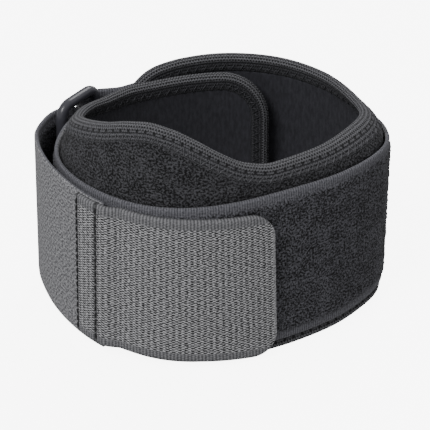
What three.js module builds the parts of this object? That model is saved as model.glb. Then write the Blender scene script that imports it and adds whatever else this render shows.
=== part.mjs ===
// Tennis elbow strap: a neoprene band with a bound edge, closed to a cuff, and a strap that
// runs round it, through a ring and back, where its hook tab holds it shut.
// Millimetres, +Z up, +X to the right of the tab's side, -Y towards the tab's side.
// Places round the cuff are given in turns from its left side, rising towards the front.

import * as THREE from 'three';

// Neoprene band
const cuffAcross = 92;
const cuffDeep = 74.3;
const bandHeight = 77.5;
const bandThickness = 3.0;
const bandCornerRadius = 14.5;
const layerStep = 6.4;
const rimLean = 5.0;
const rimFlare = 2.0;
const wallSlant = 2.6;
const innerEnd = -0.315;
const outerEnd = 0.882;

// Folded binding sewn over the edge of the band
const bindingReach = 5.3;
const bindingThickness = 3.7;
const bindingCloth = 0.9;
const bindingRound = 0.8;

// Strap
const strapWidth = 50;
const strapThickness = 1.8;
const strapLift = 3.0;
const rootFoldLength = 15;
const loopSpread = 1.1;
const pinchReach = 0.1;
const strapEnd = 0.136;

// Hook tab sewn to the strap's end
const tabWidth = 47.8;
const tabThickness = 1.6;
const tabCornerRadius = 7.5;
const tabStart = 0.108;
const tabEnd = 0.32;
const tabTilt = THREE.MathUtils.degToRad(3.9);
const tabLift = 0.6;
const tiltStart = 0.065;

// Ring
const ringAt = -0.0735;
const ringPitch = 16.4;
const ringBar = 3.4;
const ringInnerRadius = 2.2;
const ringSlack = 0.1;
const ringFloorGap = 0.1;

// Fits and mesh steps
const clearance = 0.3;
const edgeClearance = 0.3;
const step = 5;
const cornerSteps = 6;
const foldSteps = 8;
const barSides = 12;
const wallRows = [0, 0.4, 0.7, 0.82, 0.91, 1];

// Corners that steer the cuff's plan, as shares of half its width and half its depth
const planCorners = [
  { side: -1.04, away: -0.02 },
  { side: -0.95, away: -0.53 },
  { side: -0.51, away: -1.02 },
  { side: -0.01, away: -1.01 },
  { side: 0.48, away: -0.67 },
  { side: 0.74, away: -0.51 },
  { side: 1.14, away: 0.0 },
  { side: 0.89, away: 0.5 },
  { side: 0.5, away: 0.93 },
  { side: 0.0, away: 1.05 },
  { side: -0.5, away: 0.83 },
  { side: -0.86, away: 0.53 },
];

// Top edge of the band as a share of its height: low at the ends, with a lobe at the front
const topEdge = [
  { around: -0.33, height: 0.748 },
  { around: -0.16, height: 0.759 },
  { around: -0.1, height: 0.774 },
  { around: -0.06, height: 0.782 },
  { around: 0.0, height: 0.812 },
  { around: 0.06, height: 0.878 },
  { around: 0.11, height: 0.936 },
  { around: 0.15, height: 0.984 },
  { around: 0.178, height: 1.0 },
  { around: 0.205, height: 0.984 },
  { around: 0.235, height: 0.937 },
  { around: 0.265, height: 0.872 },
  { around: 0.295, height: 0.814 },
  { around: 0.33, height: 0.784 },
  { around: 0.38, height: 0.783 },
  { around: 0.6, height: 0.793 },
  { around: 0.75, height: 0.792 },
  { around: 0.8, height: 0.786 },
  { around: 0.84, height: 0.768 },
  { around: 0.89, height: 0.742 },
];

// How far the band has moved in towards the arm, as a share of the step between its two layers
const layerInset = [
  { around: -0.33, inset: 1.0 },
  { around: -0.1, inset: 1.0 },
  { around: -0.07, inset: 0.84 },
  { around: -0.035, inset: 0.36 },
  { around: 0.0, inset: 0.06 },
  { around: 0.04, inset: 0.0 },
  { around: 0.9, inset: 0.0 },
];

// How far the rim above the strap leans in, as a share of the greatest lean
const leanShares = [
  { around: -0.33, lean: 0.0 },
  { around: -0.12, lean: 0.1 },
  { around: -0.04, lean: 0.6 },
  { around: 0.0, lean: 0.86 },
  { around: 0.06, lean: 0.78 },
  { around: 0.14, lean: 0.6 },
  { around: 0.22, lean: 0.45 },
  { around: 0.32, lean: 0.2 },
  { around: 0.39, lean: 0.5 },
  { around: 0.47, lean: 1.0 },
  { around: 0.53, lean: 1.0 },
  { around: 0.62, lean: 0.2 },
  { around: 0.7, lean: 0.0 },
  { around: 0.9, lean: 0.0 },
];

// How far the rim below the strap turns out, as a share of the greatest flare
const flareShares = [
  { around: -0.33, flare: 0.0 },
  { around: 0.12, flare: 0.0 },
  { around: 0.26, flare: 1.0 },
  { around: 0.6, flare: 1.0 },
  { around: 0.8, flare: 0.0 },
  { around: 0.9, flare: 0.0 },
];

// How far the whole wall slants out at the table, as a share of the greatest slant
const slantShares = [
  { around: -0.33, slant: 0.0 },
  { around: 0.04, slant: 0.0 },
  { around: 0.15, slant: 0.5 },
  { around: 0.25, slant: 0.9 },
  { around: 0.33, slant: 1.0 },
  { around: 0.4, slant: 0.4 },
  { around: 0.46, slant: -0.3 },
  { around: 0.53, slant: -0.5 },
  { around: 0.62, slant: 0.0 },
  { around: 0.9, slant: 0.0 },
];

// The folded strap's distance outside the first pass, as a share of its distance at the ring
const foldedGap = [
  { around: -0.06, gap: 1.0 },
  { around: -0.02, gap: 1.04 },
  { around: 0.0, gap: 0.76 },
  { around: 0.03, gap: 0.3 },
  { around: 0.06, gap: 0.08 },
  { around: 0.09, gap: 0.0 },
  { around: 0.35, gap: 0.0 },
];

// Smooth value between the rows of a table, with a cubic through each pair of rows
function tableValue(rows, column, around) {
  const last = rows.length - 1;
  let i = rows.findIndex((row) => row.around > around) - 1;
  if (around <= rows[0].around) return rows[0][column];
  if (around >= rows[last].around) return rows[last][column];
  i = Math.max(i, 0);
  const slope = (k) => {
    if (k <= 0 || k >= last) return 0;
    const before = (rows[k][column] - rows[k - 1][column]) / (rows[k].around - rows[k - 1].around);
    const after = (rows[k + 1][column] - rows[k][column]) / (rows[k + 1].around - rows[k].around);
    return before * after > 0 ? (2 * before * after) / (before + after) : 0;
  };
  const width = rows[i + 1].around - rows[i].around;
  const s = (around - rows[i].around) / width;
  const rise = 3 * s ** 2 - 2 * s ** 3;
  return (
    rows[i][column] * (1 - rise) +
    rows[i + 1][column] * rise +
    width * (s ** 3 - 2 * s ** 2 + s) * slope(i) +
    width * (s ** 3 - s ** 2) * slope(i + 1)
  );
}

// Closed cubic B-spline through the plan, whose place is a share of one turn
class PlanCurve extends THREE.Curve {
  constructor(corners) {
    super();
    this.corners = corners;
    this.arcLengthDivisions = 600;
  }

  getPoint(t, target = new THREE.Vector3()) {
    const count = this.corners.length;
    const place = (((t % 1) + 1) % 1) * count;
    const first = Math.floor(place);
    const s = place - first;
    const weights = [
      (1 - s) ** 3 / 6,
      (3 * s ** 3 - 6 * s ** 2 + 4) / 6,
      (-3 * s ** 3 + 3 * s ** 2 + 3 * s + 1) / 6,
      s ** 3 / 6,
    ];
    target.set(0, 0, 0);
    weights.forEach((weight, k) => {
      target.addScaledVector(this.corners[(first + k + count - 1) % count], weight);
    });
    return target;
  }
}

const plan = new PlanCurve(
  planCorners.map((c) => new THREE.Vector3((c.side * cuffAcross) / 2, (c.away * cuffDeep) / 2, 0)),
);
const perimeter = plan.getLength();
const up = new THREE.Vector3(0, 0, 1);

// Point, direction and outward normal of the plan after a number of turns
function planFrame(around) {
  const turn = ((around % 1) + 1) % 1;
  const point = plan.getPointAt(turn);
  const tangent = plan.getTangentAt(turn).normalize();
  const outward = new THREE.Vector3().crossVectors(tangent, up).normalize();
  return { point, tangent, outward };
}

function planPoint(around, out) {
  const { point, outward } = planFrame(around);
  return point.addScaledVector(outward, out);
}

// Middle line of the band: a turn and a bit, whose inner end lies inside the outer one
class BandLine extends THREE.Curve {
  getPoint(t, target = new THREE.Vector3()) {
    const around = innerEnd + t * (outerEnd - innerEnd);
    return target.copy(planPoint(around, -layerStep * tableValue(layerInset, 'inset', around)));
  }
}

const bandLine = new BandLine();
bandLine.arcLengthDivisions = 600;
const bandLength = bandLine.getLength();

function bandAround(distance) {
  return innerEnd + bandLine.getUtoTmapping(distance / bandLength) * (outerEnd - innerEnd);
}

function bandTop(distance) {
  return bandHeight * tableValue(topEdge, 'height', bandAround(distance));
}

// How far out the slanting wall stands at this height
function slantAt(around, height) {
  const below = Math.max(0, 1 - height / (strapLift + strapWidth));
  return wallSlant * tableValue(slantShares, 'slant', around) * below;
}

// How far the wall leans in above the strap, or turns out below it, at this height
function wallShift(around, height, top) {
  const strapTop = strapLift + strapWidth;
  const above = Math.max(0, height - strapTop) / (top - strapTop);
  const flareTop = strapLift - clearance;
  const below = Math.max(0, flareTop - height) / flareTop;
  const lean = rimLean * tableValue(leanShares, 'lean', around) * above ** 1.3;
  const flare = rimFlare * tableValue(flareShares, 'flare', around) * below;
  return slantAt(around, height) + flare - lean;
}

// Place on the wrapped band of a point of its flat pattern: distance from the inner end,
// height above the table and offset outwards through the thickness
function bandPoint(distance, height, offset) {
  const around = bandAround(distance);
  const { point, outward } = planFrame(around);
  const inset = layerStep * tableValue(layerInset, 'inset', around);
  const shift = wallShift(around, height, bandTop(distance));
  point.addScaledVector(outward, offset - inset + shift);
  point.z = height;
  return point;
}

// Distances along a strip of the given length, close together at its rounded ends
function endedStations(length, radius, startRounded, endRounded) {
  const corner = [];
  for (let k = 0; k < cornerSteps; k += 1) {
    const angle = (Math.PI / 2) * (k / cornerSteps);
    corner.push(radius * (1 - Math.cos(angle)));
  }
  const from = startRounded ? radius : 0;
  const to = endRounded ? length - radius : length;
  const count = Math.round((to - from) / step);
  const stations = startRounded ? [...corner] : [];
  for (let k = 0; k <= count; k += 1) stations.push(from + ((to - from) * k) / count);
  if (endRounded) stations.push(...corner.map((d) => length - d).reverse());
  return stations;
}

// How far a rounded corner cuts into the edge at this distance from the strip's end
function cornerCut(fromEnd, radius) {
  if (fromEnd >= radius) return 0;
  return radius - Math.sqrt(radius ** 2 - (radius - fromEnd) ** 2);
}

// Columns of the band's flat pattern, each with its bottom and top
const bandColumns = endedStations(bandLength, bandCornerRadius, true, true).map((distance) => {
  const cut = cornerCut(Math.min(distance, bandLength - distance), bandCornerRadius);
  return { distance, bottom: cut, top: bandTop(distance) - cut };
});

// Edge of the flat pattern, once round: bottom, outer end, top, inner end
function bandOutline() {
  const last = bandColumns.length - 1;
  const rows = wallRows.slice(1, -1);
  const end = (column, share) => ({
    along: column.distance,
    height: column.bottom + (column.top - column.bottom) * share,
  });
  const outline = [
    ...bandColumns.map((c) => ({ along: c.distance, height: c.bottom })),
    ...rows.map((share) => end(bandColumns[last], share)),
    ...[...bandColumns].reverse().map((c) => ({ along: c.distance, height: c.top })),
    ...[...rows].reverse().map((share) => end(bandColumns[0], share)),
  ];
  return outline.map((point, k) => {
    const before = outline[(k + outline.length - 1) % outline.length];
    const after = outline[(k + 1) % outline.length];
    const run = new THREE.Vector2(after.along - before.along, after.height - before.height);
    run.normalize();
    return { ...point, inAlong: -run.y, inHeight: run.x };
  });
}

const outline = bandOutline();

// Edge of the flat pattern moved in by a distance and placed through the thickness
function outlineRing(inset, offset) {
  return outline.map((p) =>
    bandPoint(p.along + p.inAlong * inset, p.height + p.inHeight * inset, offset),
  );
}

// Collects points and faces of one closed mesh
class Shell {
  constructor() {
    this.points = [];
    this.faces = [];
  }

  add(points) {
    const first = this.points.length;
    this.points.push(...points);
    return points.map((_, k) => first + k);
  }

  quad(a, b, c, d) {
    this.faces.push(a, b, c, a, c, d);
  }

  // Faces between two rows of equal length, closed round when asked
  strip(rowA, rowB, closed) {
    const count = closed ? rowA.length : rowA.length - 1;
    for (let k = 0; k < count; k += 1) {
      const next = (k + 1) % rowA.length;
      this.quad(rowA[k], rowA[next], rowB[next], rowB[k]);
    }
  }

  geometry() {
    const geometry = new THREE.BufferGeometry();
    const positions = this.points.flatMap((p) => [p.x, p.y, p.z]);
    geometry.setAttribute('position', new THREE.Float32BufferAttribute(positions, 3));
    geometry.setIndex(this.faces);
    geometry.computeVertexNormals();
    return geometry;
  }
}

// Tube through closed rows, each joined to the next and the last to the first
function closedTube(rows) {
  const shell = new Shell();
  const indices = rows.map((row) => shell.add(row));
  indices.forEach((row, k) => shell.strip(row, indices[(k + 1) % indices.length], true));
  return shell.geometry();
}

// Bar through sections of equal length, with flat ends
function cappedBar(sections) {
  const shell = new Shell();
  const rows = sections.map((section) => shell.add(section));
  rows.slice(1).forEach((row, k) => shell.strip(row, rows[k], true));
  const cap = (row, flip) => {
    for (let k = 1; k < row.length - 1; k += 1) {
      shell.faces.push(row[0], row[flip ? k + 1 : k], row[flip ? k : k + 1]);
    }
  };
  cap(rows[0], false);
  cap(rows[rows.length - 1], true);
  return shell.geometry();
}

// Neoprene band: full thickness inside the binding, a thinner tongue within it
function neopreneBody() {
  const half = bandThickness / 2;
  const tongue = bindingThickness / 2 - bindingCloth - edgeClearance;
  const shoulder = bindingReach + edgeClearance;
  const tip = bindingCloth + edgeClearance;
  const middle = strapLift - clearance;
  const shell = new Shell();
  const rings = [
    [shoulder, half],
    [shoulder, tongue],
    [middle, tongue],
    [tip, tongue],
    [tip, -tongue],
    [middle, -tongue],
    [shoulder, -tongue],
    [shoulder, -half],
  ].map(([inset, offset]) => shell.add(outlineRing(inset, offset)));
  rings.slice(1).forEach((ring, k) => shell.strip(ring, rings[k], true));
  addFace(shell, rings[0], half, shoulder, true);
  addFace(shell, rings[rings.length - 1], -half, shoulder, false);
  return shell.geometry();
}

// One face of the band: its edge is a ring already there, and its rows fill the middle
function addFace(shell, ring, offset, inset, outside) {
  const columns = bandColumns.length;
  const inner = wallRows.length - 2;
  const topStart = columns + inner;
  const grid = bandColumns.map((_, k) => {
    const bottom = outline[k];
    const top = outline[topStart + columns - 1 - k];
    const at = (p) => ({
      along: p.along + p.inAlong * inset,
      height: p.height + p.inHeight * inset,
    });
    const low = at(bottom);
    const high = at(top);
    const middle = wallRows.slice(1, -1).map((share) =>
      bandPoint(
        low.along + (high.along - low.along) * share,
        low.height + (high.height - low.height) * share,
        offset,
      ),
    );
    return { bottom: ring[k], top: ring[topStart + columns - 1 - k], middle };
  });
  const rowIndices = grid.map(({ bottom, top, middle }, k) => {
    if (k === 0) {
      const left = ring.slice(topStart + columns).reverse();
      return [bottom, ...left, top];
    }
    if (k === columns - 1) return [bottom, ...ring.slice(columns, topStart), top];
    return [bottom, ...shell.add(middle), top];
  });
  rowIndices.slice(1).forEach((row, k) => {
    if (outside) shell.strip(row, rowIndices[k], false);
    else shell.strip(rowIndices[k], row, false);
  });
}

// Binding: a U of cloth folded over the edge of the band all the way round
function edgeBinding() {
  const half = bindingThickness / 2;
  const inside = half - bindingCloth;
  const middle = strapLift - clearance;
  const profile = [
    [bindingReach, half],
    [middle, half],
    [bindingRound, half],
    [0, half - bindingRound],
    [0, bindingRound - half],
    [bindingRound, -half],
    [middle, -half],
    [bindingReach, -half],
    [bindingReach, -inside],
    [middle, -inside],
    [bindingCloth, -inside],
    [bindingCloth, inside],
    [middle, inside],
    [bindingReach, inside],
  ];
  return closedTube(profile.reverse().map(([inset, offset]) => outlineRing(inset, offset)));
}

// Places through the layers, outwards from the middle of the band
const strapOut = bindingThickness / 2 + clearance + strapThickness / 2;
const secondOut = strapOut + strapThickness + clearance;
const barRadius = ringBar / 2;
const barOut = strapOut + strapThickness / 2 + clearance + barRadius;
const loopFlat = barRadius + clearance + strapThickness / 2;
const loopRadius = loopFlat / Math.cos(Math.PI / (2 * foldSteps));

// Turns between the ring's two upright bars, which stand a pitch apart outside the strap
function ringSpan() {
  const tries = 3;
  let turns = ringPitch / perimeter;
  for (let k = 0; k < tries; k += 1) {
    const back = planPoint(ringAt - turns / 2, barOut);
    const front = planPoint(ringAt + turns / 2, barOut);
    turns *= ringPitch / back.distanceTo(front);
  }
  return turns;
}

const ringTurns = ringSpan();
const backBarAt = ringAt - ringTurns / 2;
const frontBarAt = ringAt + ringTurns / 2;

// Ring frame: its bars, its middle, the way from its back bar to its front bar, and outwards
function ringFrame() {
  const back = planPoint(backBarAt, barOut);
  const front = planPoint(frontBarAt, barOut);
  const middle = back.clone().add(front).multiplyScalar(0.5);
  const tangent = front.clone().sub(back).normalize();
  const outward = new THREE.Vector3().crossVectors(tangent, up);
  return { back, front, middle, tangent, outward };
}

const ring = ringFrame();

// Gap above and below the strap that keeps its square edges out of the ring's round corners
function ringEdgeGap() {
  const reach = ringInnerRadius - clearance;
  const clear = ringInnerRadius - clearance / 3;
  return ringInnerRadius - Math.sqrt(clear ** 2 - reach ** 2);
}

const slotHeight = strapWidth + 2 * ringSlack;
const pinchedWidth = slotHeight - 2 * ringEdgeGap();

// The strap rises and narrows a little where it goes through the ring
function strapEdges(around) {
  const turnsAway = Math.abs(((around - ringAt + 1.5) % 1) - 0.5);
  const pinched = ringTurns / 2 + (2 * loopRadius) / perimeter;
  const near = 1 - THREE.MathUtils.smoothstep(turnsAway, pinched, pinched + pinchReach);
  const pinchedLift = ringFloorGap + ringBar + ringEdgeGap();
  return {
    bottom: THREE.MathUtils.lerp(strapLift, pinchedLift, near),
    width: THREE.MathUtils.lerp(strapWidth, pinchedWidth, near),
  };
}

// The folded strap and its tab fall away to the right
function fallAt(around) {
  return Math.tan(tabTilt) * perimeter * Math.max(0, around - tiltStart);
}

// Points along part of a turn at one distance out, or at a distance that a function gives
function passPoints(from, to, outAt) {
  const count = Math.max(2, Math.round((Math.abs(to - from) * perimeter) / step));
  const points = [];
  for (let k = 0; k <= count; k += 1) {
    const around = from + ((to - from) * k) / count;
    points.push({ around, at: planPoint(around, outAt(around)) });
  }
  return points;
}

// Half turn round an upright bar, whose outer half bulges outwards by a spread
function barLoop(center, around, way, spread, fromInside) {
  const points = [];
  for (let k = 1; k < foldSteps; k += 1) {
    const angle = Math.PI * (k / foldSteps);
    const across = fromInside ? -Math.cos(angle) : Math.cos(angle);
    const out = across * (loopRadius + (across > 0 ? spread : 0));
    const at = center
      .clone()
      .addScaledVector(ring.tangent, way * Math.sin(angle) * loopRadius)
      .addScaledVector(ring.outward, out);
    points.push({ around, at });
  }
  return points;
}

// Middle line of the strap: sewn root fold, once round the cuff, through the ring and back
function strapLine() {
  const rootTurns = rootFoldLength / perimeter;
  const barReach = loopRadius / perimeter;
  const outsideBar = barOut + loopRadius;
  const rootOut = (around) => {
    const near = THREE.MathUtils.smoothstep(around - 1, backBarAt - rootTurns * 0.6, backBarAt);
    return secondOut + (outsideBar - secondOut) * near;
  };
  const foldedOut = (around) =>
    secondOut +
    (outsideBar + loopSpread - secondOut) * tableValue(foldedGap, 'gap', around);
  return [
    ...passPoints(1 + backBarAt - rootTurns, 1 + backBarAt - barReach * 0.2, rootOut),
    ...barLoop(ring.back, 1 + backBarAt, 1, 0, false),
    ...passPoints(1 + backBarAt - barReach * 0.2, frontBarAt + barReach * 0.2, () => strapOut),
    ...barLoop(ring.front, frontBarAt, -1, loopSpread, true),
    ...passPoints(frontBarAt + barReach * 0.2, strapEnd, foldedOut).map((p) => ({
      ...p,
      folded: true,
    })),
  ];
}

// Upright ribbon along a line of points, each with its own bottom and top
function ribbon(line, thickness) {
  const sections = line.map((point, k) => {
    const before = line[Math.max(k - 1, 0)].at;
    const after = line[Math.min(k + 1, line.length - 1)].at;
    const run = after.clone().sub(before).setZ(0).normalize();
    const side = new THREE.Vector3().crossVectors(run, up).multiplyScalar(thickness / 2);
    const { outward } = planFrame(point.around);
    const corner = (sign, height) =>
      point.at
        .clone()
        .addScaledVector(side, sign)
        .addScaledVector(outward, slantAt(point.around, height))
        .setZ(height);
    return [
      corner(1, point.bottom),
      corner(1, point.top),
      corner(-1, point.top),
      corner(-1, point.bottom),
    ];
  });
  return cappedBar(sections);
}

function loopStrap() {
  const line = strapLine().map((point) => {
    const edges = strapEdges(point.around);
    const bottom = edges.bottom - (point.folded ? fallAt(point.around) : 0);
    return { ...point, bottom, top: bottom + edges.width };
  });
  return ribbon(line, strapThickness);
}

// Hook tab: over the strap's end, down a step to the first pass, and round to its free end
function hookTab() {
  const stepDown = (tabThickness + clearance) / perimeter;
  const over = secondOut + strapThickness / 2 + clearance + tabThickness / 2;
  const down = strapOut + strapThickness / 2 + clearance + tabThickness / 2;
  const length = (tabEnd - tabStart) * perimeter;
  const outAt = (around) => {
    const passed = THREE.MathUtils.smoothstep(around, strapEnd + stepDown / 2, strapEnd + stepDown * 3);
    const lifted = THREE.MathUtils.smoothstep(around, (tabStart + tabEnd) / 2, tabEnd);
    return over + (down - over) * passed + tabLift * lifted;
  };
  const edge = (strapEnd - tabStart) * perimeter;
  const fine = [edge + tabThickness, edge + tabThickness * 2, edge + tabThickness * 3];
  const stations = [...endedStations(length, tabCornerRadius, false, true), ...fine];
  stations.sort((a, b) => a - b);
  const line = stations.map((distance) => {
    const around = tabStart + distance / perimeter;
    const cut = cornerCut(length - distance, tabCornerRadius);
    const top = strapLift + strapWidth - fallAt(around);
    return {
      around,
      at: planPoint(around, outAt(around)),
      bottom: top - tabWidth + cut,
      top: top - cut,
    };
  });
  return ribbon(line, tabThickness);
}

// Ring: a rounded oblong of round bar, standing on its short bar
function strapRing() {
  const halfAcross = ringPitch / 2;
  const cornerRadius = ringInnerRadius + barRadius;
  const low = ringFloorGap + barRadius;
  const high = low + slotHeight + ringBar;
  const corners = [
    { across: halfAcross, height: low, angle: -Math.PI / 2 },
    { across: halfAcross, height: high, angle: 0 },
    { across: -halfAcross, height: high, angle: Math.PI / 2 },
    { across: -halfAcross, height: low, angle: Math.PI },
  ];
  const center = new THREE.Vector2(0, (low + high) / 2);
  const sections = [];
  for (const corner of corners) {
    const inward = new THREE.Vector2(Math.sign(corner.across), Math.sign(corner.height - center.y));
    for (let k = 0; k <= cornerSteps; k += 1) {
      const angle = corner.angle + (Math.PI / 2) * (k / cornerSteps);
      const facing = new THREE.Vector2(Math.cos(angle), Math.sin(angle));
      const across = corner.across + (facing.x - inward.x) * cornerRadius;
      const height = corner.height + (facing.y - inward.y) * cornerRadius;
      const section = [];
      for (let side = 0; side < barSides; side += 1) {
        const turn = (2 * Math.PI * side) / barSides;
        const spread = barRadius * Math.cos(turn);
        const point = ring.middle
          .clone()
          .addScaledVector(ring.tangent, across + facing.x * spread)
          .addScaledVector(ring.outward, barRadius * Math.sin(turn));
        point.z = height + facing.y * spread;
        section.push(point);
      }
      sections.push(section);
    }
  }
  return closedTube(sections.reverse());
}

const finishes = {
  pile: { color: 0x2b2b2e, roughness: 0.95, metalness: 0 },
  braid: { color: 0x3c3c3f, roughness: 0.9, metalness: 0 },
  loop: { color: 0x303033, roughness: 0.95, metalness: 0 },
  hook: { color: 0x5a5a5c, roughness: 0.8, metalness: 0 },
  gloss: { color: 0x1b1b1e, roughness: 0.2, metalness: 0 },
};

function piece(name, geometry, finish) {
  const mesh = new THREE.Mesh(geometry, new THREE.MeshStandardMaterial(finishes[finish]));
  mesh.name = name;
  return mesh;
}

const elbowStrap = new THREE.Group();
elbowStrap.add(
  piece('neoprene_body', neopreneBody(), 'pile'),
  piece('edge_binding', edgeBinding(), 'braid'),
  piece('loop_strap', loopStrap(), 'loop'),
  piece('strap_ring', strapRing(), 'gloss'),
  piece('hook_tab', hookTab(), 'hook'),
);

// The origin lies under the middle of the strap, on the table
const bounds = new THREE.Box3().setFromObject(elbowStrap);
const middle = bounds.getCenter(new THREE.Vector3());
elbowStrap.children.forEach((mesh) => mesh.position.set(-middle.x, -middle.y, -bounds.min.z));

export default elbowStrap;
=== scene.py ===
"""Tennis elbow strap: the looks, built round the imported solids. Lengths here are millimetres
until a mesh is made; places round the cuff are turns from its left side, towards the front."""

import math

import bpy
import numpy as np
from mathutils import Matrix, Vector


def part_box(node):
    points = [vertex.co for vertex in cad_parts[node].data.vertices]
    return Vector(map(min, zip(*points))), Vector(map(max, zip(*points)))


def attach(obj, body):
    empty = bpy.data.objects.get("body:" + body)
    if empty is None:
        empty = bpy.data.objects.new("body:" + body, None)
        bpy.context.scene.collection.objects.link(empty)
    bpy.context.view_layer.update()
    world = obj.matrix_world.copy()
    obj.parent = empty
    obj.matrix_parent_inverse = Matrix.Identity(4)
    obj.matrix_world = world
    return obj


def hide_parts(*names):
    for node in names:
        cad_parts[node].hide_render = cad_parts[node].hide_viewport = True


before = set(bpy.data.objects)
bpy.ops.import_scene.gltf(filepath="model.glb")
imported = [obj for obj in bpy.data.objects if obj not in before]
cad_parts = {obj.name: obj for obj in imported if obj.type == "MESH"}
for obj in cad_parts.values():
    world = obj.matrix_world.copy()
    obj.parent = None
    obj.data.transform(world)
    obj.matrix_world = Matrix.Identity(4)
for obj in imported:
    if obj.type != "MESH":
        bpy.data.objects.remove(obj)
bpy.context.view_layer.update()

METRE = 0.001

# Camera: as high above the table, as far off and as long a lens as the photograph asks for
CAMERA_PLACE = (1.06, -855.4, 561.4)
CAMERA_PITCH = 32.0
CAMERA_LENS = 278.2
CAMERA_SENSOR = 36.0

# Cuff and band
CUFF_ACROSS, CUFF_DEEP = 92.0, 74.3
BAND_HEIGHT, BAND_THICKNESS, BAND_CORNER = 77.5, 3.0, 14.5
LAYER_STEP, RIM_LEAN, RIM_FLARE, WALL_SLANT = 6.4, 5.0, 2.0, 2.6
LEAN_CURVE = 1.3
INNER_END, OUTER_END = -0.315, 0.882

# Binding
BINDING_REACH, BINDING_THICKNESS, BINDING_CLOTH = 5.3, 3.7, 0.9

# Strap
STRAP_WIDTH, STRAP_THICKNESS, STRAP_LIFT, STRAP_END = 50.0, 1.8, 3.0, 0.136
ROOT_FOLD, LOOP_SPREAD, PINCH_REACH, SELVEDGE = 15.0, 1.1, 0.1, 3.0

# Hook tab
TAB_WIDTH, TAB_THICKNESS, TAB_CORNER = 47.8, 1.6, 7.5
TAB_START, TAB_END, TAB_LIFT = 0.105, 0.3165, 0.6
TAB_TILT, TILT_START = math.radians(3.9), 0.065

# Ring, with the strap's two slack loops reaching towards each other between its bars
RING_AT, RING_PITCH, RING_BAR, RING_INNER_RADIUS = -0.0735, 16.4, 3.4, 2.2
RING_SLACK, RING_FLOOR_GAP = 0.1, 0.1
LOOP_SLACK, LOOP_EASE = 4.2, 1.02
CLEARANCE = 0.3

# Pile, knit and threads
PILE_SPECK, PILE_TUFT, PILE_FUZZ, PILE_HEIGHT = 0.64, 5.0, 0.11, 0.45
SELVEDGE_RIB, HOOK_COLUMNS, HOOK_PICK, EDGE_ROUND = 0.8, 1.8, 0.85, 0.35
RIB_PITCH, RIB_DEPTH, NEEDLE_PITCH, NEEDLE_ROW = 1.05, 0.09, 3.1, 3.5
# The second of these is how far the painted shade along each tab stitch row reaches, in millimetres
TAB_STITCH_ROWS, TAB_SHADE_REACH, ROOT_STITCH_ROWS, STITCH_PITCH = (0.5, 8.1), (0.6, 0.9), (1.6, 5.4), 2.4

# Corners of the closed spline that is the cuff's plan: shares of half its width and depth
PLAN_CORNERS = np.array([
    (-1.04, -0.02), (-0.95, -0.53), (-0.51, -1.02), (-0.01, -1.01), (0.48, -0.67), (0.74, -0.51),
    (1.14, 0.0), (0.89, 0.5), (0.5, 0.93), (0.0, 1.05), (-0.5, 0.83), (-0.86, 0.53),
])

# Rows are (turns round the cuff, share of the size named beside each table)
TOP_EDGE = [  # of the band's height
    (-0.33, 0.748), (-0.16, 0.759), (-0.1, 0.774), (-0.06, 0.782), (0.0, 0.812), (0.06, 0.878),
    (0.11, 0.936), (0.15, 0.984), (0.178, 1.0), (0.205, 0.984), (0.235, 0.937), (0.265, 0.872),
    (0.295, 0.814), (0.33, 0.784), (0.38, 0.783), (0.6, 0.793), (0.75, 0.792), (0.8, 0.786),
    (0.84, 0.768), (0.89, 0.742),
]
LAYER_INSET = [  # of the step between the band's two layers
    (-0.33, 1.0), (-0.1, 1.0), (-0.07, 0.84), (-0.035, 0.36), (0.0, 0.06), (0.04, 0.0), (0.9, 0.0),
]
LEAN = [  # of the rim's greatest lean
    (-0.33, 0.0), (-0.12, 0.1), (-0.04, 0.6), (0.0, 0.86), (0.06, 0.78), (0.14, 0.6), (0.22, 0.45),
    (0.32, 0.2), (0.39, 0.5), (0.47, 1.0), (0.53, 1.0), (0.62, 0.2), (0.7, 0.0), (0.9, 0.0),
]
FLARE = [  # of the lower edge's greatest flare
    (-0.33, 0.0), (0.12, 0.0), (0.26, 1.0), (0.6, 1.0), (0.8, 0.0), (0.9, 0.0),
]
SLANT = [  # of the wall's greatest slant
    (-0.33, 0.0), (0.04, 0.0), (0.15, 0.5), (0.25, 0.9), (0.33, 1.0), (0.4, 0.4), (0.46, -0.3),
    (0.53, -0.5), (0.62, 0.0), (0.9, 0.0),
]
FOLDED_GAP = [  # of the folded strap's distance from the first pass at the ring
    (-0.06, 1.0), (-0.02, 1.04), (0.0, 0.76), (0.03, 0.3), (0.06, 0.08), (0.09, 0.0), (0.35, 0.0),
]

random = np.random.default_rng(7)


def smoothstep(x, low, high):
    """Cubic ease from 0 at low to 1 at high."""
    s = np.clip((x - low) / (high - low), 0, 1)
    return s * s * (3 - 2 * s)


def table_value(rows, x):
    """Cubic Hermite curve through the rows, with harmonic-mean slopes so that it never overshoots."""
    at, value = np.array(rows).T
    rise = np.diff(value) / np.diff(at)
    product = rise[:-1] * rise[1:]
    total = np.where(product > 0, rise[:-1] + rise[1:], 1)
    slope = np.concatenate([[0], np.where(product > 0, 2 * product / total, 0), [0]])
    x = np.clip(x, at[0], at[-1])
    i = np.clip(np.searchsorted(at, x, side="right") - 1, 0, len(at) - 2)
    width = at[i + 1] - at[i]
    s = (x - at[i]) / width
    ease = 3 * s**2 - 2 * s**3
    bend = (s**3 - 2 * s**2 + s) * slope[i] + (s**3 - s**2) * slope[i + 1]
    return value[i] * (1 - ease) + value[i + 1] * ease + width * bend


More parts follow.
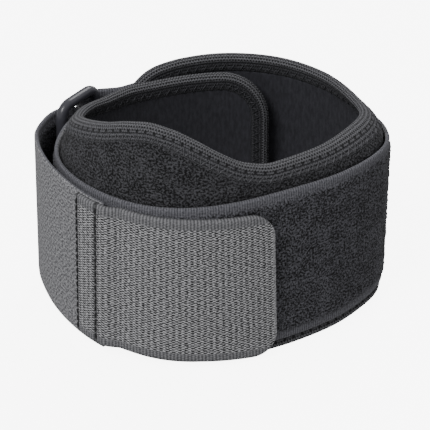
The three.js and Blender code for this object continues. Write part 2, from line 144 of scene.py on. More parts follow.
def plan_tables(count=4800):
    """Closed uniform cubic B-spline of the plan, sampled finely and indexed by its length."""
    corners = PLAN_CORNERS * [CUFF_ACROSS / 2, CUFF_DEEP / 2]
    place = np.arange(count) / count * len(corners)
    first, s = place.astype(int), (place % 1)[:, None]
    weights = [(1 - s) ** 3, 3 * s**3 - 6 * s**2 + 4, -3 * s**3 + 3 * s**2 + 3 * s + 1, s**3]
    points = sum(w / 6 * corners[(first + k - 1) % len(corners)] for k, w in enumerate(weights))
    runs = np.linalg.norm(np.roll(points, -1, axis=0) - points, axis=1)
    return np.concatenate([[0], np.cumsum(runs)]), np.vstack([points, points[:1]])


PLAN_LENGTHS, PLAN_POINTS = plan_tables()
PERIMETER = PLAN_LENGTHS[-1]


def plan_frame(around):
    """Point, forward direction and outward normal of the plan after some turns, as arrays. The
    direction is that of the chord from a reach before the point to a reach after it."""
    def at(length):
        """Point of the plan at a length along it."""
        wrapped = length % PERIMETER
        return np.stack([np.interp(wrapped, PLAN_LENGTHS, PLAN_POINTS[:, k]) for k in (0, 1)], -1)

    length = np.asarray(around, float) * PERIMETER
    reach = 0.6
    forward = at(length + reach) - at(length - reach)
    forward /= np.linalg.norm(forward, axis=-1, keepdims=True)
    return at(length), forward, np.stack([forward[..., 1], -forward[..., 0]], -1)


def plan_point(around, out):
    """Point of the plan moved outwards by a distance."""
    point, _, outward = plan_frame(around)
    return point + outward * np.asarray(out)[..., None]


def band_tables(count=3000):
    """Length along the band's middle line, a spiral of a turn and a bit, for each place."""
    around = np.linspace(INNER_END, OUTER_END, count)
    line = plan_point(around, -LAYER_STEP * table_value(LAYER_INSET, around))
    runs = np.linalg.norm(np.diff(line, axis=0), axis=1)
    return around, np.concatenate([[0], np.cumsum(runs)])


BAND_AROUND, BAND_LENGTHS = band_tables()
BAND_LENGTH = BAND_LENGTHS[-1]


def band_around(distance):
    """Turns round the cuff at a distance along the flat pattern."""
    return np.interp(distance, BAND_LENGTHS, BAND_AROUND)


def band_top(distance):
    """Height of the band's top edge at a distance along the flat pattern."""
    return BAND_HEIGHT * table_value(TOP_EDGE, band_around(distance))


def slant_at(around, height):
    """Outward slant of the whole wall, greatest at the table."""
    return WALL_SLANT * table_value(SLANT, around) * np.maximum(0, 1 - height / (STRAP_LIFT + STRAP_WIDTH))


def band_point(distance, height, offset):
    """Wraps the flat pattern: plan point, moved out by the offset and flare, in by inset and lean."""
    around = band_around(distance)
    point, _, outward = plan_frame(around)
    strap_top, flare_top = STRAP_LIFT + STRAP_WIDTH, STRAP_LIFT - CLEARANCE
    above = np.maximum(0, height - strap_top) / (band_top(distance) - strap_top)
    lean = RIM_LEAN * table_value(LEAN, around) * above**LEAN_CURVE
    flare = RIM_FLARE * table_value(FLARE, around) * np.maximum(0, flare_top - height) / flare_top
    inset = LAYER_STEP * table_value(LAYER_INSET, around)
    out = offset - inset - lean + flare + slant_at(around, height)
    return np.concatenate([point + outward * out[..., None], np.asarray(height)[..., None]], -1)


def corner_cut(from_end, radius):
    """How far a round corner cuts into the edge at this distance from the end."""
    inside = np.clip(radius - from_end, 0, radius)
    return radius - np.sqrt(radius**2 - inside**2)


def band_outline(step=0.8):
    """Edge of the flat pattern once round at even steps, with its inward normal."""
    turn = np.linspace(0, math.pi / 2, 40)[:-1]
    corner = BAND_CORNER * (1 - np.cos(turn))
    straight = np.linspace(BAND_CORNER, BAND_LENGTH - BAND_CORNER, 600)
    along = np.concatenate([corner, straight, BAND_LENGTH - corner[::-1]])
    cut = corner_cut(np.minimum(along, BAND_LENGTH - along), BAND_CORNER)
    line = np.vstack([
        np.stack([along, cut], -1),
        np.stack([along, band_top(along) - cut], -1)[::-1],
    ])
    line = np.vstack([line, line[:1]])
    lengths = np.concatenate([[0], np.cumsum(np.linalg.norm(np.diff(line, axis=0), axis=1))])
    count = int(lengths[-1] / step)
    even = np.arange(count) / count * lengths[-1]
    points = np.stack([np.interp(even, lengths, line[:, k]) for k in (0, 1)], -1)
    run = np.roll(points, -2, axis=0) - np.roll(points, 2, axis=0)
    run /= np.linalg.norm(run, axis=1, keepdims=True)
    return points, np.stack([-run[:, 1], run[:, 0]], -1), lengths[-1]


def edge_depth(distance, height):
    """Distance in from the rounded edge of the flat pattern: the least of the distances to both
    ends, the bottom and the sloping top, and near a corner the distance in from its arc."""
    top = band_top(distance)
    slope = band_top(distance + 0.5) - band_top(distance - 0.5)
    ends = np.minimum(distance, BAND_LENGTH - distance)
    edges = np.minimum(height, (top - height) / np.sqrt(1 + slope**2))
    corner = BAND_CORNER - np.hypot(BAND_CORNER - ends, BAND_CORNER - edges)
    return np.where((ends < BAND_CORNER) & (edges < BAND_CORNER), corner, np.minimum(ends, edges))


OUTLINE, OUTLINE_IN, OUTLINE_LENGTH = band_outline()


def frame_shift():
    """Shift from the plan's own middle to the frame's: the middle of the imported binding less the
    middle of the same binding worked out here, a little in from its fold."""
    half = np.full(len(OUTLINE), BINDING_THICKNESS / 2)
    inset = 2.0
    leg = OUTLINE + OUTLINE_IN * inset
    skin = np.vstack([band_point(leg[:, 0], leg[:, 1], side * half) for side in (-1, 1)])
    low, high = (np.array(corner)[:2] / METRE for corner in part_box("edge_binding"))
    return (low + high) / 2 - (skin[:, :2].min(0) + skin[:, :2].max(0)) / 2


SHIFT = np.append(frame_shift(), 0.0)


def ring_frame():
    """The ring's two upright bars, a pitch apart outside the strap, its middle and directions."""
    strap_out = BINDING_THICKNESS / 2 + CLEARANCE + STRAP_THICKNESS / 2
    bar_out = strap_out + STRAP_THICKNESS / 2 + CLEARANCE + RING_BAR / 2
    turns = RING_PITCH / PERIMETER
    for _ in range(3):
        back = plan_point(RING_AT - turns / 2, bar_out)
        front = plan_point(RING_AT + turns / 2, bar_out)
        turns *= RING_PITCH / np.linalg.norm(front - back)
    forward = (front - back) / np.linalg.norm(front - back)
    outward = np.array([forward[1], -forward[0]])
    return {"back": back, "front": front, "middle": (back + front) / 2, "forward": forward,
            "outward": outward, "turns": turns, "strap_out": strap_out, "bar_out": bar_out}


RING = ring_frame()
SECOND_OUT = RING["strap_out"] + STRAP_THICKNESS + CLEARANCE
LOOP_RADIUS = (RING_BAR / 2 + CLEARANCE + STRAP_THICKNESS / 2) * LOOP_EASE
BACK_AT = RING_AT - RING["turns"] / 2
FRONT_AT = RING_AT + RING["turns"] / 2
SLOT_HEIGHT = STRAP_WIDTH + 2 * RING_SLACK


def tab_out(around):
    """Middle of the tab: over the strap's end, down a step to the first pass, lifting at the end."""
    over = SECOND_OUT + STRAP_THICKNESS / 2 + CLEARANCE + TAB_THICKNESS / 2
    down = RING["strap_out"] + STRAP_THICKNESS / 2 + CLEARANCE + TAB_THICKNESS / 2
    step = (TAB_THICKNESS + CLEARANCE) / PERIMETER
    passed = smoothstep(around, STRAP_END + step / 2, STRAP_END + step * 3)
    return over + (down - over) * passed + TAB_LIFT * smoothstep(around, (TAB_START + TAB_END) / 2, TAB_END)


TAB_LENGTH = (TAB_END - TAB_START) * PERIMETER


def tab_line(distance):
    """Middle line of the tab at distances along the plan, with its places round the cuff."""
    around = TAB_START + distance / PERIMETER
    return plan_point(around, tab_out(around)), around


def tab_tables(count=400):
    """Length along the tab's outer face for each distance along the plan."""
    places = np.linspace(0, TAB_LENGTH, count)
    line, around = tab_line(places)
    _, _, outward = plan_frame(around)
    face = line + outward * TAB_THICKNESS / 2
    runs = np.linalg.norm(np.diff(face, axis=0), axis=1)
    return places, np.concatenate([[0], np.cumsum(runs)])


TAB_PLACES, TAB_LENGTHS = tab_tables()


def binding_fold():
    """Outer line of the folded binding, two straight legs and half an ellipse, and its length."""
    half = BINDING_THICKNESS / 2
    nose = half * 0.95
    leg = np.linspace(BINDING_REACH, nose, 18)[:-1]
    turn = np.linspace(math.pi / 2, -math.pi / 2, 23)
    outer = np.vstack([
        np.stack([leg, np.full(len(leg), half)], -1),
        np.stack([nose - nose * np.cos(turn), half * np.sin(turn)], -1),
        np.stack([leg[::-1], np.full(len(leg), -half)], -1),
    ])
    return outer, np.concatenate([[0], np.cumsum(np.linalg.norm(np.diff(outer, axis=0), axis=1))])


BINDING_GIRTH = binding_fold()[1][-1]


def add_piece(name, points, faces, corner_uv, materials, replaces=None, material_index=None, caps=()):
    """Makes a mesh object in metres at the frame's place, with a UV map in metres. Caps are faces
    with any number of corners, added after the quads."""
    mesh = bpy.data.meshes.new(name)
    mesh.from_pydata(((points + SHIFT) * METRE).tolist(), [], faces.tolist() + list(caps))
    layer = mesh.uv_layers.new(name="cloth")
    layer.data.foreach_set("uv", (corner_uv * METRE).astype(np.float32).ravel())
    for material in materials:
        mesh.materials.append(material)
    if material_index is not None:
        mesh.polygons.foreach_set("material_index", material_index.astype(np.int32))
    mesh.polygons.foreach_set("use_smooth", np.ones(len(mesh.polygons), bool))
    mesh.update()
    piece = bpy.data.objects.new(name, mesh)
    bpy.context.scene.collection.objects.link(piece)
    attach(piece, "root")
    if replaces:
        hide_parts(replaces)
    return piece


def grid_quads(rows, columns, wrap_rows=False, wrap_columns=False):
    """Quads of a grid of points, row by row, and the unwrapped row and column of each corner."""
    starts = np.arange(rows - (not wrap_rows)), np.arange(columns - (not wrap_columns))
    i, j = np.meshgrid(*starts, indexing="ij")
    corner_i = np.stack([i, i, i + 1, i + 1], -1).reshape(-1, 4)
    corner_j = np.stack([j, j + 1, j + 1, j], -1).reshape(-1, 4)
    return (corner_i % rows) * columns + corner_j % columns, corner_i, corner_j


def sheet_solid(outer, inner, uv):
    """Closed wall between two grids of columns by rows: both faces, both long edges, both ends.
    Faces point outwards where the outer grid is on the right of the way its columns run. Each
    face's corner UV comes from its grid place; the edges take the grid's own border UV."""
    columns, rows = outer.shape[:2]
    points = np.vstack([outer.reshape(-1, 3), inner.reshape(-1, 3)])
    count = columns * rows
    quads, i, j = grid_quads(columns, rows)
    face_uv = uv[i, j]
    faces, uvs = [quads[:, ::-1], quads + count], [face_uv[:, ::-1], face_uv]
    index = np.arange(count).reshape(columns, rows)
    loop = np.concatenate([index[:-1, 0], index[-1, :-1], index[:0:-1, -1], index[0, :0:-1]])
    after = np.roll(loop, -1)
    faces.append(np.stack([after, loop, loop + count, after + count], -1))
    flat_uv = uv.reshape(-1, 2)
    uvs.append(np.stack([flat_uv[after], flat_uv[loop], flat_uv[loop], flat_uv[after]], 1))
    side = np.concatenate([np.full(len(f), k) for k, f in enumerate(faces)])
    return points, np.vstack(faces), np.vstack([u.reshape(-1, 2) for u in uvs]), side


def add_node(tree, kind, links=None, **settings):
    """Adds a node, sets its properties, and gives each named input a value or a link."""
    node = tree.nodes.new(kind)
    for key, value in settings.items():
        setattr(node, key, value)
    for key, value in (links or {}).items():
        if isinstance(value, bpy.types.NodeSocket):
            tree.links.new(value, node.inputs[key])
        else:
            node.inputs[key].default_value = value
    return node


def colour(text):
    """Linear colour of an sRGB hex value."""
    srgb = [int(text[k:k + 2], 16) / 255 for k in (1, 3, 5)]
    return [c / 12.92 if c <= 0.04045 else ((c + 0.055) / 1.055) ** 2.4 for c in srgb] + [1.0]


def new_material(name):
    """An empty material with its shader, ready for links."""
    material = bpy.data.materials.new(name)
    material.use_nodes = True
    tree = material.node_tree
    return material, tree, tree.nodes["Principled BSDF"]


def cloth_place(tree, along, across):
    """Place on the cloth as two sockets, in units of a size along and one across in millimetres."""
    uv = add_node(tree, "ShaderNodeUVMap", uv_map="cloth")
    scale = (1 / METRE / along, 1 / METRE / across, 1)
    placed = add_node(tree, "ShaderNodeMapping", {"Vector": uv.outputs[0], "Scale": scale})
    parts = add_node(tree, "ShaderNodeSeparateXYZ", {0: placed.outputs[0]})
    return placed.outputs[0], parts.outputs[0], parts.outputs[1]


def specks(tree, along, across, detail=2.0):
    """Fractal noise from 0 to 1 whose cells are along by across millimetres."""
    place, _, _ = cloth_place(tree, along, across)
    noise = add_node(tree, "ShaderNodeTexNoise", {
        "Vector": place, "Scale": 1.0, "Detail": detail, "Roughness": 0.6})
    return noise.outputs["Fac"]


def blend_waves(tree, base, *terms):
    """The base plus each wave times its weight; terms are pairs of a wave and its weight."""
    for wave, weight in terms:
        links = {0: wave, 1: weight, 2: base}
        base = add_node(tree, "ShaderNodeMath", links, operation="MULTIPLY_ADD").outputs[0]
    return base


def staggered_dots(tree, along, across):
    """Cosine along times cosine across: dots in rows, each row half a pitch on from the last. A
    size far longer than the cloth, one way, leaves plain stripes that run that way."""
    _, u, v = cloth_place(tree, along / 2 / math.pi, across / math.pi)
    waves = [add_node(tree, "ShaderNodeMath", {0: s}, operation="COSINE").outputs[0] for s in (u, v)]
    return add_node(tree, "ShaderNodeMath", {0: waves[0], 1: waves[1]}, operation="MULTIPLY").outputs[0]


def chevrons(tree, column, pitch, slope):
    """Sine across the cloth whose phase climbs and falls along it: columns of stacked chevrons."""
    _, u, v = cloth_place(tree, column, pitch / 2 / math.pi)
    zigzag = add_node(tree, "ShaderNodeMath", {0: u, 1: 0.5}, operation="PINGPONG").outputs[0]
    phase = blend_waves(tree, v, (zigzag, slope))
    return add_node(tree, "ShaderNodeMath", {0: phase}, operation="SINE").outputs[0]


def ramp(tree, value, low, high, start=0.0, end=1.0):
    """Smooth ease of a socket from start to end between two of its values."""
    node = add_node(tree, "ShaderNodeMapRange", {
        "Value": value, "From Min": low, "From Max": high, "To Min": start, "To Max": end,
    }, interpolation_type="SMOOTHSTEP")
    return node.outputs["Result"]


def colour_mix(tree, factor, first, second):
    """First colour where the factor is 0, second where it is 1; each is a hex value or a socket."""
    ends = {0: factor}
    for slot, value in ((6, first), (7, second)):
        ends[slot] = colour(value) if isinstance(value, str) else value
    return add_node(tree, "ShaderNodeMix", ends, data_type="RGBA").outputs[2]


def finish_cloth(tree, shader, tint, height, depth, roughness=0.92, sheen=0.03):
    """Gives a cloth its colour, its relief of a depth in millimetres, and a dull fibre surface."""
    raised = add_node(tree, "ShaderNodeBump", {
        "Height": height, "Strength": 0.8, "Distance": depth * METRE})
    tree.links.new(tint, shader.inputs["Base Color"])
    tree.links.new(raised.outputs["Normal"], shader.inputs["Normal"])
    shader.inputs["Roughness"].default_value = roughness
    shader.inputs["Specular IOR Level"].default_value = 0.3
    shader.inputs["Sheen Weight"].default_value = sheen
    shader.inputs["Sheen Roughness"].default_value = 0.5


def pile_finish(name, light, width=None):
    """Unbrushed nylon loop pile: a tangle of fine loops, seen as dark and light specks. The loops,
    about a third of a millimetre thick, are drawn twice as thick so that they show. With a width,
    the cloth has smooth woven selvedges along both edges, with fine ribs across them."""
    material, tree, shader = new_material(name)
    speck = specks(tree, PILE_SPECK, PILE_SPECK)
    spread = blend_waves(tree, speck, (specks(tree, PILE_TUFT, PILE_TUFT), 0.22))
    tint = colour_mix(tree, ramp(tree, spread, 0.5, 0.75), "#070708", light)
    height = speck
    if width:
        _, _, across = cloth_place(tree, 1, 1)
        edge = add_node(tree, "ShaderNodeMath", {0: across, 1: width / 2}, operation="PINGPONG").outputs[0]
        ribs = blend_waves(tree, speck, (staggered_dots(tree, SELVEDGE_RIB, 400), 0.16))
        woven = colour_mix(tree, ramp(tree, ribs, 0.1, 0.9), "#323237", "#74747a")
        on_pile = ramp(tree, edge, SELVEDGE - 1.6, SELVEDGE + 0.8)
        tint = colour_mix(tree, on_pile, woven, tint)
        height = add_node(tree, "ShaderNodeMath", {0: speck, 1: on_pile}, operation="MULTIPLY").outputs[0]
    finish_cloth(tree, shader, tint, height, 0.5)
    return material


def jersey_finish():
    """Warp-knitted jersey bonded to the foam: smooth and near black, with faint upright wales
    1.3 mm apart, drawn coarser than the knit so that they show."""
    material, tree, shader = new_material("bonded_knit_jersey")
    knit = blend_waves(tree, specks(tree, 1.0, 3.0), (staggered_dots(tree, 1.3, 500), 0.03))
    tint = colour_mix(tree, ramp(tree, knit, 0.25, 0.75), "#29292e", "#37373d")
    finish_cloth(tree, shader, tint, knit, 0.12, 0.85)
    return material


def plain_back_finish():
    """Plain woven nylon back of the strap: grey heather, its picks running along the strap. The
    weave is drawn coarser than the yarn so that it shows."""
    material, tree, shader = new_material("woven_nylon_back")
    woven = blend_waves(tree, specks(tree, 0.9, 0.6, 3.0), (staggered_dots(tree, 1.3, 0.8), 0.06))
    tint = colour_mix(tree, ramp(tree, woven, 0.34, 0.68), "#4c4c4f", "#a0a0a3")
    finish_cloth(tree, shader, tint, woven, 0.25)
    return material


def hook_tape_finish():
    """Back of woven hook tape: the hook yarns come through as bright dots in staggered columns
    0.9 mm apart, joined by faint chevrons, drawn coarser than the yarn so that they show. A plain
    ribbed selvedge runs along both edges, the cut end is sealed and pale, and the two rows of
    stitches sit in grooves darkened with painted shade, broken up by the fleck. At the first row
    this painted shade also stands for the shadow of the tab's start edge."""
    material, tree, shader = new_material("woven_hook_tape")
    fleck = specks(tree, 0.75, 0.6, 3.0)
    bars = chevrons(tree, HOOK_COLUMNS, HOOK_PICK, 8.5)
    dots = staggered_dots(tree, HOOK_COLUMNS, HOOK_PICK / 2)
    columns = staggered_dots(tree, HOOK_COLUMNS, 500)
    woven = blend_waves(tree, fleck, (bars, 0.05), (dots, 0.2), (columns, -0.06))
    tint = colour_mix(tree, ramp(tree, woven, 0.3, 0.84), "#19191b", "#cacacd")
    _, along, across = cloth_place(tree, 1, 1)
    edge = add_node(tree, "ShaderNodeMath", {0: across, 1: TAB_WIDTH / 2}, operation="PINGPONG").outputs[0]
    ribs = blend_waves(tree, fleck, (staggered_dots(tree, 1.0, 500), 0.2))
    plain = colour_mix(tree, ramp(tree, ribs, 0.25, 0.75), "#525255", "#828285")
    tint = colour_mix(tree, ramp(tree, edge, 2.2, 3.4), plain, tint)
    sealed = colour_mix(tree, ramp(tree, fleck, 0.35, 0.65), "#6c6c6f", "#b9b9bc")
    end = TAB_LENGTHS[-1]
    tint = colour_mix(tree, ramp(tree, along, end - 1.3, end - 0.5), tint, sealed)
    # Painted shade: each stitch row's groove is darkened towards #1b1b1d, in patches set by the fleck; at
    # the first row it is also the painted shadow of the tab's start edge
    shade_breakup = ramp(tree, fleck, 0.2, 0.6, 1.0, 0.55)
    for row, reach in zip(TAB_STITCH_ROWS, TAB_SHADE_REACH):
        past = add_node(tree, "ShaderNodeMath", {0: along, 1: row}, operation="SUBTRACT").outputs[0]
        away = add_node(tree, "ShaderNodeMath", {0: past}, operation="ABSOLUTE").outputs[0]
        dark = ramp(tree, away, reach * 0.3, reach, 1.0, 0.0)
        broken_groove_shade = add_node(tree, "ShaderNodeMath", {0: dark, 1: shade_breakup}, operation="MULTIPLY").outputs[0]
        tint = colour_mix(tree, broken_groove_shade, tint, "#1b1b1d")
    finish_cloth(tree, shader, tint, woven, 0.35)
    return material


def binding_finish():
    """Knitted polyester binding: over the fold its courses show as rows with staggered dark dots
    between them, the outer leg is a finer mesh with needle holes, and the inner leg, inside the
    cuff, is darker with painted shade. Rows and dots are drawn coarser than the knit so that they show."""
    material, tree, shader = new_material("knitted_binding_tape")
    _, _, across = cloth_place(tree, 1, 1)
    fleck = specks(tree, 0.5, 0.5)
    dots = staggered_dots(tree, 0.95, 0.8)
    rows = staggered_dots(tree, 20000, RIB_PITCH / 2)
    knit = blend_waves(tree, fleck, (dots, 0.28), (rows, 0.17))
    fold = colour_mix(tree, ramp(tree, knit, 0.12, 0.9), "#08080a", "#69696d")
    mesh = blend_waves(tree, fleck, (chevrons(tree, 0.75, 1.1, 4.0), 0.14))
    outer = colour_mix(tree, ramp(tree, mesh, 0.25, 0.8), "#1f1f22", "#606064")
    # Painted shade: the inner leg, inside the cuff, takes a darker copy of the outer leg's mesh colours
    inner = colour_mix(tree, ramp(tree, mesh, 0.3, 0.85), "#1c1c1f", "#46464a")
    leg, bend = 3.3, 3.9
    tint = colour_mix(tree, ramp(tree, across, leg, bend), outer, fold)
    tint = colour_mix(tree, ramp(tree, across, BINDING_GIRTH - bend, BINDING_GIRTH - leg), tint, inner)
    _, stitch, _ = cloth_place(tree, NEEDLE_PITCH, 1)
    wrapped = add_node(tree, "ShaderNodeMath", {0: stitch, 1: 0.5}, operation="PINGPONG").outputs[0]
    beside = add_node(tree, "ShaderNodeMath", {
        0: wrapped, 1: NEEDLE_PITCH}, operation="MULTIPLY").outputs[0]
    above = add_node(tree, "ShaderNodeMath", {0: across, 1: NEEDLE_ROW}, operation="SUBTRACT").outputs[0]
    squares = [
        add_node(tree, "ShaderNodeMath", {0: side, 1: side}, operation="MULTIPLY").outputs[0]
        for side in (beside, above)
    ]
    away = add_node(tree, "ShaderNodeMath", dict(enumerate(squares)), operation="ADD").outputs[0]
    tint = colour_mix(tree, ramp(tree, away, 0.08, 0.4, 0.85, 0.0), tint, "#050506")
    finish_cloth(tree, shader, tint, knit, 0.3)
    return material


def thread_finish():
    """Twisted polyester sewing thread: dark, with a slight shine along its plies."""
    material, tree, shader = new_material("twisted_polyester_thread")
    ply = specks(tree, 0.3, 0.3)
    tint = colour_mix(tree, ramp(tree, ply, 0.35, 0.65), "#0f0f11", "#2b2b2e")
    finish_cloth(tree, shader, tint, ply, 0.1, 0.6)
    return material


def stitch_finish(name, dark, light):
    """Textured polyester cover stitch: soft bulked yarn, the colour of the binding it lies on."""
    material, tree, shader = new_material(name)
    bulk = specks(tree, 0.3, 0.3)
    tint = colour_mix(tree, ramp(tree, bulk, 0.3, 0.7), dark, light)
    finish_cloth(tree, shader, tint, bulk, 0.1)
    return material


def moulded_finish():
    """Gloss moulded acetal: dark grey, so the lights and their soft blur on it give the shape."""
    material, tree, shader = new_material("moulded_gloss_acetal")
    source = add_node(tree, "ShaderNodeTexCoord")
    waves = add_node(tree, "ShaderNodeTexNoise", {"Vector": source.outputs["Object"], "Scale": 220.0})
    raised = add_node(tree, "ShaderNodeBump", {
        "Height": waves.outputs["Fac"], "Strength": 0.05, "Distance": 0.4 * METRE})
    tree.links.new(raised.outputs["Normal"], shader.inputs["Normal"])
    tint = colour_mix(tree, waves.outputs["Fac"], "#38383e", "#4a4a51")
    tree.links.new(tint, shader.inputs["Base Color"])
    shader.inputs["Roughness"].default_value = 0.3
    shader.inputs["IOR"].default_value = 1.48
    return material


LOOP_PILE = pile_finish("nylon_loop_pile", "#4c4c50")
STRAP_PILE = pile_finish("nylon_loop_pile_strap", "#5c5c62", STRAP_WIDTH)
JERSEY = jersey_finish()
PLAIN_BACK = plain_back_finish()
HOOK_TAPE = hook_tape_finish()
BINDING_TAPE = binding_finish()
THREAD = thread_finish()
GREY_STITCH = stitch_finish("bulked_stitch_yarn_grey", "#3a3a3d", "#6a6a6e")
# Painted shade: the inside copy of the stitch yarn is darker, as the binding's inner leg is
SHADED_STITCH = stitch_finish("bulked_stitch_yarn_shaded", "#202023", "#4a4a4e")
GLOSS = moulded_finish()


def neoprene_band():
    """Wall over the flat pattern inside the binding: full thickness in the field, a thin tongue
    at the edge, its outer face roughened by the pile."""
    columns, rows = 380, 86
    tip_gap, tongue_gap = 0.4, 0.25
    tip = BINDING_CLOTH + tip_gap
    ease, crowding = np.linspace(0, 1, columns), 0.008
    distance = tip + (BAND_LENGTH - 2 * tip) * (ease - crowding * np.sin(4 * math.pi * ease))
    top = band_top(distance)
    slope = np.gradient(top, distance)
    from_end = np.minimum(distance, BAND_LENGTH - distance) - tip
    cut = tip + corner_cut(from_end, BAND_CORNER - tip)
    low, high = cut, top - cut * np.sqrt(1 + slope**2)
    height = low[:, None] + (high - low)[:, None] * np.linspace(0, 1, rows)
    distance = np.repeat(distance[:, None], rows, axis=1)
    depth = edge_depth(distance, height)
    tongue = BINDING_THICKNESS / 2 - BINDING_CLOTH - tongue_gap
    half = tongue + (BAND_THICKNESS / 2 - tongue) * smoothstep(depth, BINDING_REACH - 1.2, BINDING_REACH)
    fuzz = random.normal(0, PILE_FUZZ, half.shape) * smoothstep(depth, BINDING_REACH, BINDING_REACH + 1)
    outer = band_point(distance, height, half + fuzz)
    inner = band_point(distance, height, -half)
    uv = np.stack([distance, height], -1)
    points, faces, corner_uv, side = sheet_solid(outer, inner, uv)
    return add_piece("neoprene_band", points, faces, corner_uv, [LOOP_PILE, JERSEY],
                     "neoprene_body", (side == 1).astype(int))


def binding_profile():
    """Closed section of the binding: depth in from the edge and offset through the thickness.
    Cosine grooves a millimetre apart run round the fold, and the two free edges are rounded."""
    inside = BINDING_THICKNESS / 2 - BINDING_CLOTH
    outer, lengths = binding_fold()
    normal = np.gradient(outer, lengths, axis=0)
    normal = np.stack([-normal[:, 1], normal[:, 0]], -1)
    normal /= np.linalg.norm(normal, axis=1, keepdims=True)
    middle = lengths[-1] / 2
    rib_end, plain_start = 4.2, 5.2
    ribbed = 1 - smoothstep(np.abs(lengths - middle), rib_end, plain_start)
    rib = RIB_DEPTH * (np.cos(2 * math.pi * (lengths - middle) / RIB_PITCH) - 1) * ribbed
    outer = outer - normal * rib[:, None]
    rounded = smoothstep(np.minimum(lengths, lengths[-1] - lengths), 0, 0.7) - 1
    outer[:, 1] += np.sign(outer[:, 1]) * EDGE_ROUND * rounded
    inner = np.array([
        (BINDING_REACH, -inside), (BINDING_CLOTH, -inside),
        (BINDING_CLOTH, inside), (BINDING_REACH, inside),
    ])
    return np.vstack([outer, inner]), np.concatenate([lengths, lengths[-1] + np.arange(1, 5)])


def along_outline(inset, offset):
    """Points at an inset from the whole outline and an offset through the thickness."""
    flat = OUTLINE + OUTLINE_IN * inset
    return band_point(flat[:, 0], flat[:, 1], np.full(len(flat), offset))


def edge_binding():
    """The section swept once round the outline of the band."""
    profile, lengths = binding_profile()
    grid = np.stack([along_outline(depth, offset) for depth, offset in profile])
    quads, i, j = grid_quads(len(profile), len(OUTLINE), True, True)
    v = np.append(lengths, lengths[-1] + 1)
    u = np.arange(len(OUTLINE) + 1) / len(OUTLINE) * OUTLINE_LENGTH
    corner_uv = np.stack([u[j], v[i]], -1).reshape(-1, 4, 2)[:, ::-1].reshape(-1, 2)
    return add_piece("ribbed_binding", grid.reshape(-1, 3), quads[:, ::-1], corner_uv, [BINDING_TAPE],
                     "edge_binding")


def tube_along(paths, radius, sides):
    """Round threads along paths of equal point count, thinner at both ends, as open tubes. Each
    ring of points is turned from one fixed direction that no path follows."""
    run = np.gradient(paths, axis=1)
    run /= np.linalg.norm(run, axis=-1, keepdims=True) + 1e-9
    lift = np.array([0.31, 0.17, 0.93])
    across = np.cross(run, lift)
    across /= np.linalg.norm(across, axis=-1, keepdims=True)
    other = np.cross(run, across)
    turn = np.arange(sides) / sides * 2 * math.pi
    ring = np.cos(turn)[:, None] * across[:, :, None] + np.sin(turn)[:, None] * other[:, :, None]
    taper = np.ones(paths.shape[1])
    taper[[0, -1]] = 0.35
    points = paths[:, :, None] + ring * (radius * taper)[None, :, None, None]
    count, steps = paths.shape[:2]
    quads, i, j = grid_quads(steps, sides, False, True)
    offsets = (np.arange(count) * steps * sides)[:, None, None]
    uv = np.stack([i, j], -1).reshape(-1, 2) * radius
    return points.reshape(-1, 3), (quads[None] + offsets).reshape(-1, 4), np.tile(uv, (count, 1))


def thread_piece(name, paths, radius, material):
    """One object of many short threads, each closed by a flat face at both ends."""
    sides = 5
    points, faces, corner_uv = tube_along(paths, radius, sides)
    count, steps = paths.shape[:2]
    first = np.arange(count)[:, None] * steps * sides
    ring = np.arange(sides)
    caps = (first + ring[::-1]).tolist() + (first + (steps - 1) * sides + ring).tolist()
    corner_uv = np.vstack([corner_uv, np.zeros((len(caps) * sides, 2))])
    return add_piece(name, points, faces, corner_uv, [material], caps=caps)


def edge_gap():
    """Gap that keeps the strap's square edges out of the ring's round corners."""
    clear, reach = RING_INNER_RADIUS - CLEARANCE / 3, RING_INNER_RADIUS - CLEARANCE
    return RING_INNER_RADIUS - math.sqrt(clear**2 - reach**2)


def strap_edges(around):
    """Bottom and width of the strap, pinched a little where it goes through the ring."""
    away = np.abs(((around - RING_AT + 1.5) % 1) - 0.5)
    pinched = RING["turns"] / 2 + 2 * LOOP_RADIUS / PERIMETER
    near = 1 - smoothstep(away, pinched, pinched + PINCH_REACH)
    lift = RING_FLOOR_GAP + RING_BAR + edge_gap()
    width = SLOT_HEIGHT - 2 * edge_gap()
    return STRAP_LIFT + (lift - STRAP_LIFT) * near, STRAP_WIDTH + (width - STRAP_WIDTH) * near


def fall_at(around):
    """How far the folded strap and its tab have dropped to the right."""
    return math.tan(TAB_TILT) * PERIMETER * np.maximum(0, around - TILT_START)


def bar_loop(center, way, spread, from_inside):
    """Half turn round an upright bar, an ellipse longer along the ring by the slack; its outer half
    bulges outwards by the spread."""
    angle = np.linspace(0, math.pi, 50)[1:-1]
    across = -np.cos(angle) if from_inside else np.cos(angle)
    out = across * (LOOP_RADIUS + np.where(across > 0, spread, 0))
    forward = way * np.sin(angle) * (LOOP_RADIUS + LOOP_SLACK)
    return center + forward[:, None] * RING["forward"] + out[:, None] * RING["outward"]


